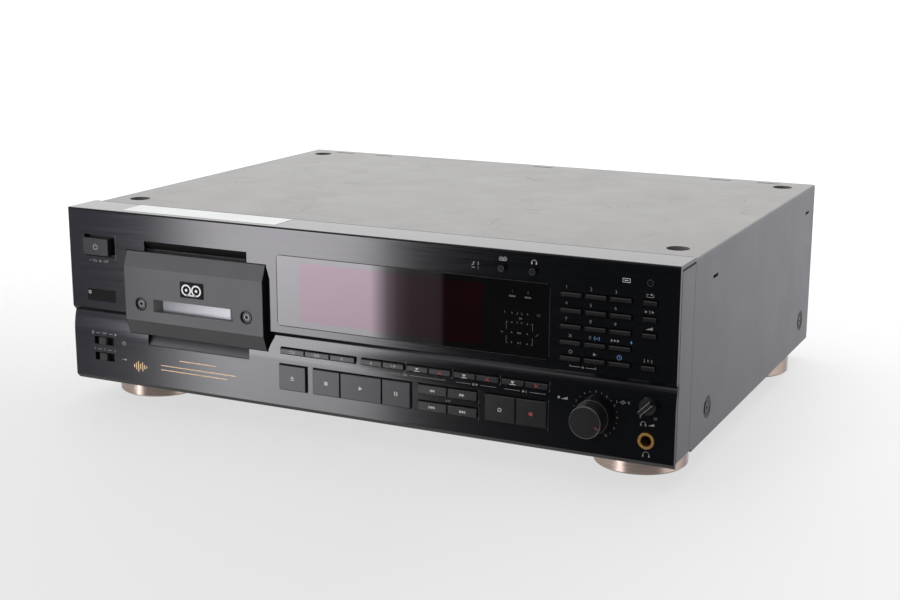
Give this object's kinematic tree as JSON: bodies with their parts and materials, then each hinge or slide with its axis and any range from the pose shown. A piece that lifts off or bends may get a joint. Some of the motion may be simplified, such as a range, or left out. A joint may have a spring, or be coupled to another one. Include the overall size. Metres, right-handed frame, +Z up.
{
  "type": "digital audio tape deck",
  "caption": "Full-width hi-fi cassette recorder: stepped front extrusion, sliding cassette drawer, smoked display, key banks, dual level knob, sheet cover on round feet",
  "frame": {"origin": "on the floor under the middle of the deck's box", "axes": "+X to the right seen from the front, -Y out of the front panel, +Z up"},
  "size_m": [0.43, 0.3544, 0.134],
  "materials": {
    "black_panel": "black anodised, brushed along its length",
    "bezel_plastic": "moulded black plastic, satin",
    "cover_paint": "dark satin paint on sheet steel, scuffed",
    "chassis_steel": "plated sheet steel",
    "rear_steel": "black painted sheet steel",
    "foot_metal": "turned, champagne tint",
    "smoked_window": "smoked acrylic, polished",
    "display_parts": "board with an indicator tube and lamps",
    "circuit_board": "glass fibre board with fitted parts",
    "transformer_core": "laminated core with windings",
    "mechanism_metal": "die-cast base plate",
    "drum_metal": "turned and polished",
    "gear_plastic": "natural moulded plastic",
    "socket_metal": "gold plated",
    "socket_plastic": "moulded black plastic",
    "jack_brass": "gold plated ring",
    "screw_steel": "black plated",
    "drawer_plastic": "satin dark grey front",
    "clear_window": "clear moulded pane",
    "bolt_steel": "dark plated hexagon socket bolts",
    "tray_plastic": "moulded black plastic",
    "key_plastic": "fine matte moulded plastic",
    "slider_plastic": "black moulded plastic",
    "knob_plastic": "satin black with a bright edge"
  },
  "bodies": {
    "deck": {"front_panel": "black_panel", "drawer_bezel": "bezel_plastic", "top_cover": "cover_paint", "chassis": "chassis_steel", "rear_panel": "rear_steel", "feet": "foot_metal", "display_window": "smoked_window", "display_module": "display_parts", "remote_window": "smoked_window", "key_board": "circuit_board", "main_board": "circuit_board", "transformer": "transformer_core", "mechanism_base": "mechanism_metal", "line_sockets": "socket_metal", "digital_sockets": "socket_plastic", "mains_inlet": "socket_plastic", "headphone_jack": "jack_brass", "case_screws": "screw_steel"},
    "drawer": {"drawer_front": "drawer_plastic", "drawer_window": "clear_window", "drawer_bolts": "bolt_steel", "cassette_tray": "tray_plastic"},
    "power_button": {"power_button": "key_plastic"},
    "timer_switch": {"timer_switch": "slider_plastic"},
    "input_switch": {"input_switch": "slider_plastic"},
    "open_close_key": {"open_close_key": "key_plastic"},
    "stop_key": {"stop_key": "key_plastic"},
    "play_key": {"play_key": "key_plastic"},
    "pause_key": {"pause_key": "key_plastic"},
    "rewind_key": {"rewind_key": "key_plastic"},
    "forward_key": {"forward_key": "key_plastic"},
    "previous_key": {"previous_key": "key_plastic"},
    "next_key": {"next_key": "key_plastic"},
    "record_mute_key": {"record_mute_key": "key_plastic"},
    "record_key": {"record_key": "key_plastic"},
    "counter_mode_key": {"counter_mode_key": "key_plastic"},
    "counter_reset_key": {"counter_reset_key": "key_plastic"},
    "counter_memory_key": {"counter_memory_key": "key_plastic"},
    "auto_mark_key": {"auto_mark_key": "key_plastic"},
    "renumber_key": {"renumber_key": "key_plastic"},
    "start_write_key": {"start_write_key": "key_plastic"},
    "start_erase_key": {"start_erase_key": "key_plastic"},
    "skip_write_key": {"skip_write_key": "key_plastic"},
    "skip_erase_key": {"skip_erase_key": "key_plastic"},
    "end_write_key": {"end_write_key": "key_plastic"},
    "end_erase_key": {"end_erase_key": "key_plastic"},
    "record_mode_button": {"record_mode_button": "key_plastic"},
    "record_monitor_button": {"record_monitor_button": "key_plastic"},
    "display_mode_button": {"display_mode_button": "key_plastic"},
    "keypad_row_1": {"keypad_row_1": "key_plastic"},
    "keypad_row_2": {"keypad_row_2": "key_plastic"},
    "keypad_row_3": {"keypad_row_3": "key_plastic"},
    "keypad_row_4": {"keypad_row_4": "key_plastic"},
    "keypad_row_5": {"keypad_row_5": "key_plastic"},
    "mode_keys": {"mode_keys": "key_plastic"},
    "record_level_knob": {"record_level_knob": "knob_plastic"},
    "record_level_ring": {"record_level_ring": "knob_plastic"},
    "phones_level_knob": {"phones_level_knob": "knob_plastic"},
    "head_drum": {"head_drum": "drum_metal"},
    "loading_gear": {"loading_gear": "gear_plastic"}
  },
  "joints": [
    {"name": "drawer_slide", "type": "slide", "parent": "deck", "child": "drawer", "axis": [0, -1, 0], "range_m": [0, 0.075]},
    {"name": "power_press", "type": "slide", "parent": "deck", "child": "power_button", "axis": [0, 1, 0], "range_m": [0, 0.0025], "stiffness_N_per_m": 400, "springref_m": -0.004},
    {"name": "open_close_press", "type": "slide", "parent": "deck", "child": "open_close_key", "axis": [0, 1, 0], "range_m": [0, 0.0008], "stiffness_N_per_m": 500, "springref_m": -0.002},
    {"name": "stop_press", "type": "slide", "parent": "deck", "child": "stop_key", "axis": [0, 1, 0], "range_m": [0, 0.0008], "stiffness_N_per_m": 500, "springref_m": -0.002},
    {"name": "play_press", "type": "slide", "parent": "deck", "child": "play_key", "axis": [0, 1, 0], "range_m": [0, 0.0008], "stiffness_N_per_m": 500, "springref_m": -0.002},
    {"name": "pause_press", "type": "slide", "parent": "deck", "child": "pause_key", "axis": [0, 1, 0], "range_m": [0, 0.0008], "stiffness_N_per_m": 500, "springref_m": -0.002},
    {"name": "rewind_press", "type": "slide", "parent": "deck", "child": "rewind_key", "axis": [0, 1, 0], "range_m": [0, 0.0008], "stiffness_N_per_m": 500, "springref_m": -0.002},
    {"name": "forward_press", "type": "slide", "parent": "deck", "child": "forward_key", "axis": [0, 1, 0], "range_m": [0, 0.0008], "stiffness_N_per_m": 500, "springref_m": -0.002},
    {"name": "previous_press", "type": "slide", "parent": "deck", "child": "previous_key", "axis": [0, 1, 0], "range_m": [0, 0.0008], "stiffness_N_per_m": 500, "springref_m": -0.002},
    {"name": "next_press", "type": "slide", "parent": "deck", "child": "next_key", "axis": [0, 1, 0], "range_m": [0, 0.0008], "stiffness_N_per_m": 500, "springref_m": -0.002},
    {"name": "record_mute_press", "type": "slide", "parent": "deck", "child": "record_mute_key", "axis": [0, 1, 0], "range_m": [0, 0.0008], "stiffness_N_per_m": 500, "springref_m": -0.002},
    {"name": "record_press", "type": "slide", "parent": "deck", "child": "record_key", "axis": [0, 1, 0], "range_m": [0, 0.0008], "stiffness_N_per_m": 500, "springref_m": -0.002},
    {"name": "counter_mode_press", "type": "slide", "parent": "deck", "child": "counter_mode_key", "axis": [0, 1, 0], "range_m": [0, 0.0008], "stiffness_N_per_m": 500, "springref_m": -0.002},
    {"name": "counter_reset_press", "type": "slide", "parent": "deck", "child": "counter_reset_key", "axis": [0, 1, 0], "range_m": [0, 0.0008], "stiffness_N_per_m": 500, "springref_m": -0.002},
    {"name": "counter_memory_press", "type": "slide", "parent": "deck", "child": "counter_memory_key", "axis": [0, 1, 0], "range_m": [0, 0.0008], "stiffness_N_per_m": 500, "springref_m": -0.002},
    {"name": "auto_mark_press", "type": "slide", "parent": "deck", "child": "auto_mark_key", "axis": [0, 1, 0], "range_m": [0, 0.0008], "stiffness_N_per_m": 500, "springref_m": -0.002},
    {"name": "renumber_press", "type": "slide", "parent": "deck", "child": "renumber_key", "axis": [0, 1, 0], "range_m": [0, 0.0008], "stiffness_N_per_m": 500, "springref_m": -0.002},
    {"name": "start_write_press", "type": "slide", "parent": "deck", "child": "start_write_key", "axis": [0, 1, 0], "range_m": [0, 0.0008], "stiffness_N_per_m": 500, "springref_m": -0.002},
    {"name": "start_erase_press", "type": "slide", "parent": "deck", "child": "start_erase_key", "axis": [0, 1, 0], "range_m": [0, 0.0008], "stiffness_N_per_m": 500, "springref_m": -0.002},
    {"name": "skip_write_press", "type": "slide", "parent": "deck", "child": "skip_write_key", "axis": [0, 1, 0], "range_m": [0, 0.0008], "stiffness_N_per_m": 500, "springref_m": -0.002},
    {"name": "skip_erase_press", "type": "slide", "parent": "deck", "child": "skip_erase_key", "axis": [0, 1, 0], "range_m": [0, 0.0008], "stiffness_N_per_m": 500, "springref_m": -0.002},
    {"name": "end_write_press", "type": "slide", "parent": "deck", "child": "end_write_key", "axis": [0, 1, 0], "range_m": [0, 0.0008], "stiffness_N_per_m": 500, "springref_m": -0.002},
    {"name": "end_erase_press", "type": "slide", "parent": "deck", "child": "end_erase_key", "axis": [0, 1, 0], "range_m": [0, 0.0008], "stiffness_N_per_m": 500, "springref_m": -0.002},
    {"name": "record_mode_press", "type": "slide", "parent": "deck", "child": "record_mode_button", "axis": [0, 1, 0], "range_m": [0, 0.0008], "stiffness_N_per_m": 500, "springref_m": -0.002},
    {"name": "record_monitor_press", "type": "slide", "parent": "deck", "child": "record_monitor_button", "axis": [0, 1, 0], "range_m": [0, 0.0008], "stiffness_N_per_m": 500, "springref_m": -0.002},
    {"name": "display_mode_press", "type": "slide", "parent": "deck", "child": "display_mode_button", "axis": [0, 1, 0], "range_m": [0, 0.0008], "stiffness_N_per_m": 500, "springref_m": -0.002},
    {"name": "keypad_row_1_press", "type": "slide", "parent": "deck", "child": "keypad_row_1", "axis": [0, 1, 0], "range_m": [0, 0.0008], "stiffness_N_per_m": 500, "springref_m": -0.002},
    {"name": "keypad_row_2_press", "type": "slide", "parent": "deck", "child": "keypad_row_2", "axis": [0, 1, 0], "range_m": [0, 0.0008], "stiffness_N_per_m": 500, "springref_m": -0.002},
    {"name": "keypad_row_3_press", "type": "slide", "parent": "deck", "child": "keypad_row_3", "axis": [0, 1, 0], "range_m": [0, 0.0008], "stiffness_N_per_m": 500, "springref_m": -0.002},
    {"name": "keypad_row_4_press", "type": "slide", "parent": "deck", "child": "keypad_row_4", "axis": [0, 1, 0], "range_m": [0, 0.0008], "stiffness_N_per_m": 500, "springref_m": -0.002},
    {"name": "keypad_row_5_press", "type": "slide", "parent": "deck", "child": "keypad_row_5", "axis": [0, 1, 0], "range_m": [0, 0.0008], "stiffness_N_per_m": 500, "springref_m": -0.002},
    {"name": "mode_press", "type": "slide", "parent": "deck", "child": "mode_keys", "axis": [0, 1, 0], "range_m": [0, 0.0008], "stiffness_N_per_m": 500, "springref_m": -0.002},
    {"name": "timer_shift", "type": "slide", "parent": "deck", "child": "timer_switch", "axis": [1, 0, 0], "range_m": [-0.0042, 0.0042]},
    {"name": "input_shift", "type": "slide", "parent": "deck", "child": "input_switch", "axis": [1, 0, 0], "range_m": [-0.0042, 0.0042]},
    {"name": "record_level_turn", "type": "hinge", "parent": "deck", "child": "record_level_knob", "pos_m": [0.1663, -0.15975, 0.041], "axis": [0, 1, 0], "range_deg": [-270, 30]},
    {"name": "record_level_ring_turn", "type": "hinge", "parent": "deck", "child": "record_level_ring", "pos_m": [0.1663, -0.15975, 0.041], "axis": [0, 1, 0], "range_deg": [-270, 30]},
    {"name": "phones_level_turn", "type": "hinge", "parent": "deck", "child": "phones_level_knob", "pos_m": [0.1992, -0.15975, 0.0512], "axis": [0, 1, 0], "range_deg": [0, 270]},
    {"name": "drum_spin", "type": "hinge", "parent": "deck", "child": "head_drum", "pos_m": [-0.1128, -0.0661, 0.06055], "axis": [0.1115, 0, 0.9938], "continuous": true},
    {"name": "loading_turn", "type": "hinge", "parent": "deck", "child": "loading_gear", "pos_m": [-0.168, -0.08975, 0.0711], "axis": [0, 0, 1], "range_deg": [-540, 5]}
  ],
  "couplings": [
    {"joint": "loading_turn", "follows": "drawer_slide", "rad_per_m": -125}
  ]
}
